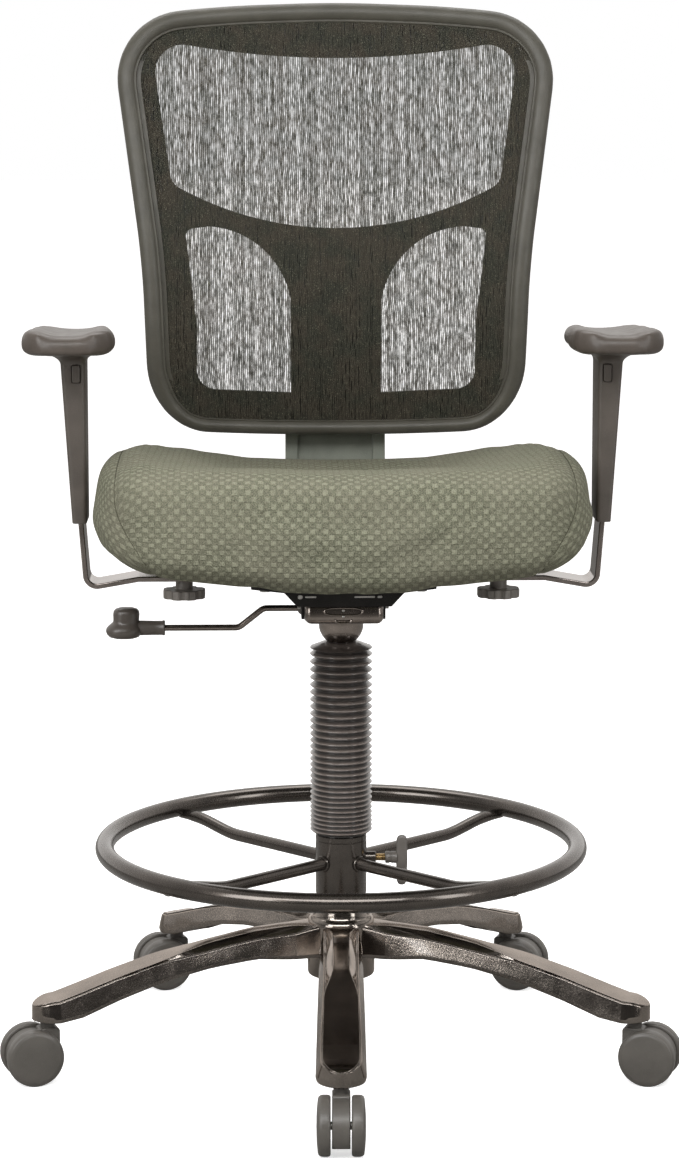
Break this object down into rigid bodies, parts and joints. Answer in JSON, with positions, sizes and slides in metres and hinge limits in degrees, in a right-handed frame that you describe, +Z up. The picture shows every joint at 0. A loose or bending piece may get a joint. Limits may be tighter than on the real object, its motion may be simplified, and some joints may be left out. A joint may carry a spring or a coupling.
{
  "type": "drafting chair",
  "caption": "Tall drafting chair: mesh back on a height slide, contoured fabric seat, adjustable armrests, gas column with bellows, foot ring and five-star caster base.",
  "frame": {"origin": "on the floor, on the axis of the gas column", "axes": "+Z up, the chair faces -Y, the sitter's left is +X"},
  "size_m": [0.7168, 0.6612, 1.121],
  "materials": {
    "polished_base": "high-gloss titanium-grey paint",
    "black_steel": "satin black powder coat",
    "chromed_tube": "semi-gloss dark titanium paint",
    "arm_steel": "polished dark steel",
    "zinc_steel": "zinc plated steel",
    "brass_screw": "machined brass",
    "bellows_rubber": "semi-gloss black rubber",
    "caster_nylon": "moulded dark grey nylon",
    "black_nylon": "moulded black nylon",
    "frame_nylon": "moulded charcoal nylon, soft sheen",
    "arm_pad_foam": "integral-skin polyurethane",
    "green_fabric": "sage green basket-weave upholstery",
    "mesh_fabric": "black open-weave mesh"
  },
  "bodies": {
    "base": {"base_star": "polished_base", "column_tube": "black_steel", "column_bush": "black_nylon", "thrust_bearing": "zinc_steel"},
    "caster_front": {"caster_front_stem": "zinc_steel", "caster_front_housing": "caster_nylon", "caster_front_axle": "zinc_steel"},
    "caster_front_wheel_pair": {"caster_front_wheels": "caster_nylon"},
    "caster_left": {"caster_left_stem": "zinc_steel", "caster_left_housing": "caster_nylon", "caster_left_axle": "zinc_steel"},
    "caster_left_wheel_pair": {"caster_left_wheels": "caster_nylon"},
    "caster_rear_left": {"caster_rear_left_stem": "zinc_steel", "caster_rear_left_housing": "caster_nylon", "caster_rear_left_axle": "zinc_steel"},
    "caster_rear_left_wheel_pair": {"caster_rear_left_wheels": "caster_nylon"},
    "caster_rear_right": {"caster_rear_right_stem": "zinc_steel", "caster_rear_right_housing": "caster_nylon", "caster_rear_right_axle": "zinc_steel"},
    "caster_rear_right_wheel_pair": {"caster_rear_right_wheels": "caster_nylon"},
    "caster_right": {"caster_right_stem": "zinc_steel", "caster_right_housing": "caster_nylon", "caster_right_axle": "zinc_steel"},
    "caster_right_wheel_pair": {"caster_right_wheels": "caster_nylon"},
    "foot_rest": {"foot_ring": "chromed_tube", "foot_ring_spokes": "chromed_tube", "foot_ring_hub": "chromed_tube"},
    "foot_ring_clamp": {"clamp_screw": "brass_screw", "clamp_handle": "black_nylon"},
    "column_piston": {"piston_rod": "zinc_steel", "rod_clip": "zinc_steel", "bellows": "bellows_rubber"},
    "tilt_mechanism": {"tilt_case": "black_steel", "pressure_tube": "black_steel", "pivot_pin": "zinc_steel", "tilt_spring": "zinc_steel"},
    "valve_pin": {"release_pin": "zinc_steel"},
    "lever_ball": {"lever_bush": "black_nylon"},
    "height_lever": {"lever_rod": "black_steel", "lever_paddle": "black_nylon"},
    "seat": {"seat_plate": "black_steel", "seat_pan": "black_nylon", "seat_cushion": "green_fabric", "seat_bolts": "zinc_steel", "back_bar": "black_steel", "back_bar_cover": "black_nylon"},
    "back_rest": {"back_carriage": "black_nylon", "back_frame": "frame_nylon", "back_grid": "black_nylon", "back_mesh": "mesh_fabric"},
    "arm_left_upright": {"arm_left_bar": "arm_steel"},
    "arm_left_clamp_knob": {"arm_left_width_knob": "black_nylon"},
    "arm_left_rest": {"arm_left_sleeve": "frame_nylon", "arm_left_pad": "arm_pad_foam"},
    "arm_left_button": {"arm_left_height_button": "black_nylon"},
    "arm_right_upright": {"arm_right_bar": "arm_steel"},
    "arm_right_clamp_knob": {"arm_right_width_knob": "black_nylon"},
    "arm_right_rest": {"arm_right_sleeve": "frame_nylon", "arm_right_pad": "arm_pad_foam"},
    "arm_right_button": {"arm_right_height_button": "black_nylon"}
  },
  "joints": [
    {"name": "caster_front_swivel", "type": "hinge", "parent": "base", "child": "caster_front", "pos_m": [-0.00846, -0.32289, 0.066], "axis": [0, 0, 1], "continuous": true},
    {"name": "caster_front_roll", "type": "hinge", "parent": "caster_front", "child": "caster_front_wheel_pair", "pos_m": [-0.0089, -0.33988, 0.03], "axis": [0.9997, -0.0262, 0], "continuous": true},
    {"name": "caster_left_swivel", "type": "hinge", "parent": "base", "child": "caster_left", "pos_m": [0.30447, -0.10782, 0.066], "axis": [0, 0, 1], "continuous": true},
    {"name": "caster_left_roll", "type": "hinge", "parent": "caster_left", "child": "caster_left_wheel_pair", "pos_m": [0.32042, -0.11372, 0.03], "axis": [0.3469, 0.9379, 0], "continuous": true},
    {"name": "caster_rear_left_swivel", "type": "hinge", "parent": "base", "child": "caster_rear_left", "pos_m": [0.19663, 0.25625, 0.066], "axis": [0, 0, 1], "continuous": true},
    {"name": "caster_rear_left_roll", "type": "hinge", "parent": "caster_rear_left", "child": "caster_rear_left_wheel_pair", "pos_m": [0.21257, 0.25035, 0.03], "axis": [0.3469, 0.9379, 0], "continuous": true},
    {"name": "caster_rear_right_swivel", "type": "hinge", "parent": "base", "child": "caster_rear_right", "pos_m": [-0.18295, 0.26619, 0.066], "axis": [0, 0, 1], "continuous": true},
    {"name": "caster_rear_right_roll", "type": "hinge", "parent": "caster_rear_right", "child": "caster_rear_right_wheel_pair", "pos_m": [-0.19918, 0.26114, 0.03], "axis": [0.2974, -0.9548, 0], "continuous": true},
    {"name": "caster_right_swivel", "type": "hinge", "parent": "base", "child": "caster_right", "pos_m": [-0.3097, -0.09174, 0.066], "axis": [0, 0, 1], "continuous": true},
    {"name": "caster_right_roll", "type": "hinge", "parent": "caster_right", "child": "caster_right_wheel_pair", "pos_m": [-0.32593, -0.09679, 0.03], "axis": [0.2974, -0.9548, 0], "continuous": true},
    {"name": "foot_ring_height", "type": "slide", "parent": "base", "child": "foot_rest", "axis": [0, 0, 1], "range_m": [-0.008, 0.02]},
    {"name": "foot_ring_clamp_turn", "type": "hinge", "parent": "foot_rest", "child": "foot_ring_clamp", "pos_m": [0.04748, -0.00124, 0.2156], "axis": [0.9997, -0.0262, 0], "continuous": true},
    {"name": "seat_swivel", "type": "hinge", "parent": "base", "child": "column_piston", "pos_m": [0, 0, 0.1], "axis": [0, 0, 1], "continuous": true},
    {"name": "seat_height", "type": "slide", "parent": "column_piston", "child": "tilt_mechanism", "axis": [0, 0, 1], "range_m": [-0.06, 0.14], "deforming": ["bellows"]},
    {"name": "release_pin_press", "type": "slide", "parent": "tilt_mechanism", "child": "valve_pin", "axis": [0, 0, -1], "range_m": [0, 0.0036]},
    {"name": "lever_lift", "type": "hinge", "parent": "tilt_mechanism", "child": "lever_ball", "pos_m": [-0.0385, 0, 0.4856], "axis": [0, 1, 0], "range_deg": [0, 5], "stiffness_Nm_per_rad": 2, "springref_deg": -11.46},
    {"name": "lever_pull", "type": "slide", "parent": "lever_ball", "child": "height_lever", "axis": [-1, 0, 0], "range_m": [0, 0.008]},
    {"name": "seat_tilt", "type": "hinge", "parent": "tilt_mechanism", "child": "seat", "pos_m": [0, -0.075, 0.505], "axis": [-1, 0, 0], "range_deg": [0, 10], "stiffness_Nm_per_rad": 120, "springref_deg": -22.92},
    {"name": "back_height", "type": "slide", "parent": "seat", "child": "back_rest", "axis": [0, 0.0523, 0.9986], "range_m": [0, 0.06]},
    {"name": "arm_left_width", "type": "slide", "parent": "seat", "child": "arm_left_upright", "axis": [1, 0, 0], "range_m": [0, 0.035]},
    {"name": "arm_left_knob_turn", "type": "hinge", "parent": "seat", "child": "arm_left_clamp_knob", "pos_m": [0.165, -0.015, 0.505], "axis": [0, 0, 1], "continuous": true},
    {"name": "arm_left_height", "type": "slide", "parent": "arm_left_upright", "child": "arm_left_rest", "axis": [0.075, 0, 0.9972], "range_m": [0, 0.075]},
    {"name": "arm_left_button_press", "type": "slide", "parent": "arm_left_rest", "child": "arm_left_button", "axis": [0, 1, 0], "range_m": [0, 0.0025], "stiffness_N_per_m": 400, "springref_m": -0.001},
    {"name": "arm_right_width", "type": "slide", "parent": "seat", "child": "arm_right_upright", "axis": [-1, 0, 0], "range_m": [0, 0.035]},
    {"name": "arm_right_knob_turn", "type": "hinge", "parent": "seat", "child": "arm_right_clamp_knob", "pos_m": [-0.165, -0.015, 0.505], "axis": [0, 0, 1], "continuous": true},
    {"name": "arm_right_height", "type": "slide", "parent": "arm_right_upright", "child": "arm_right_rest", "axis": [-0.075, 0, 0.9972], "range_m": [0, 0.075]},
    {"name": "arm_right_button_press", "type": "slide", "parent": "arm_right_rest", "child": "arm_right_button", "axis": [0, 1, 0], "range_m": [0, 0.0025], "stiffness_N_per_m": 400, "springref_m": -0.001}
  ],
  "couplings": [
    {"joint": "release_pin_press", "follows": "lever_lift", "m_per_rad": 0.04}
  ]
}
